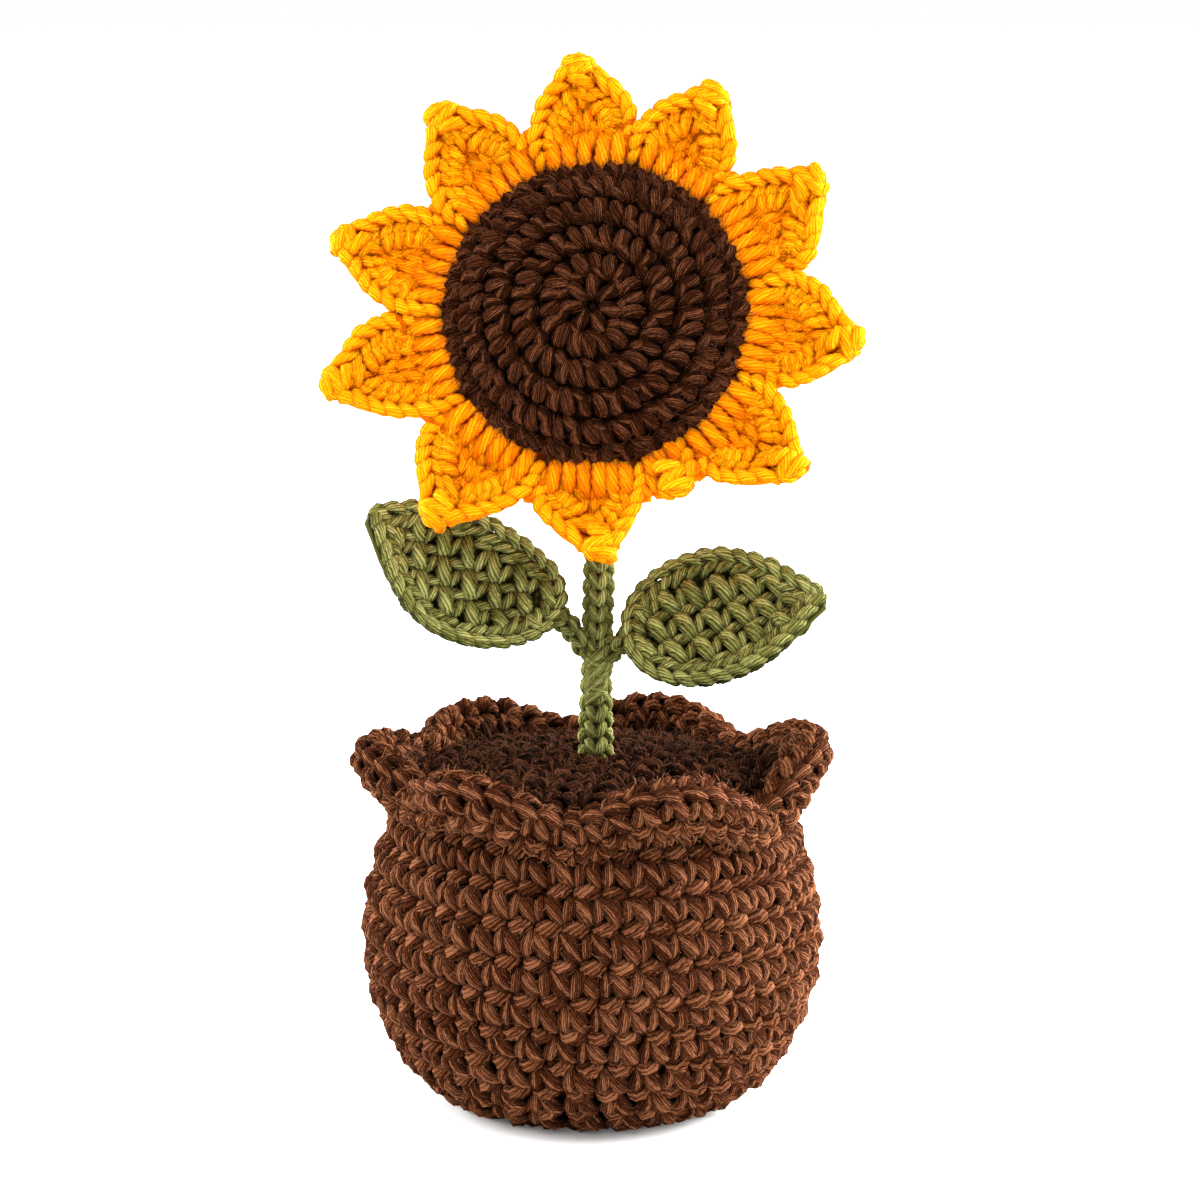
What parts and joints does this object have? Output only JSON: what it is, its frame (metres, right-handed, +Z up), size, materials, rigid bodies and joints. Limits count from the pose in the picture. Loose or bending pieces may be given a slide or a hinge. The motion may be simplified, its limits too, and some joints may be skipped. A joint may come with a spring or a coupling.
{
  "type": "crocheted sunflower plant in a crocheted pot",
  "caption": "Crocheted sunflower with a domed dark centre, pointed yellow petals and cupped leaves, on an upright stem in a round frilled brown crochet pot.",
  "frame": {"origin": "centre of the pot's flat underside", "axes": "+Z up, the flower faces -Y, +X to the right seen from the front"},
  "size_m": [0.0864, 0.0724, 0.1685],
  "materials": {
    "pot_yarn": "matte yarn",
    "soil_yarn": "matte yarn",
    "disc_yarn": "matte yarn",
    "petal_yarn": "matte yarn",
    "leaf_yarn": "matte yarn",
    "stuffing": "soft fill"
  },
  "bodies": {
    "root": {"pot": "pot_yarn", "pot_ruffle": "pot_yarn", "pot_stuffing": "stuffing", "soil": "soil_yarn", "stem": "leaf_yarn", "leaf_stalk_left": "leaf_yarn", "leaf_stalk_right": "leaf_yarn", "leaf_left": "leaf_yarn", "leaf_right": "leaf_yarn", "flower_disc": "disc_yarn", "flower_back": "disc_yarn", "petal_01": "petal_yarn", "petal_02": "petal_yarn", "petal_03": "petal_yarn", "petal_04": "petal_yarn", "petal_05": "petal_yarn", "petal_06": "petal_yarn", "petal_07": "petal_yarn", "petal_08": "petal_yarn", "petal_09": "petal_yarn", "petal_10": "petal_yarn", "petal_11": "petal_yarn"}
  },
  "joints": []
}
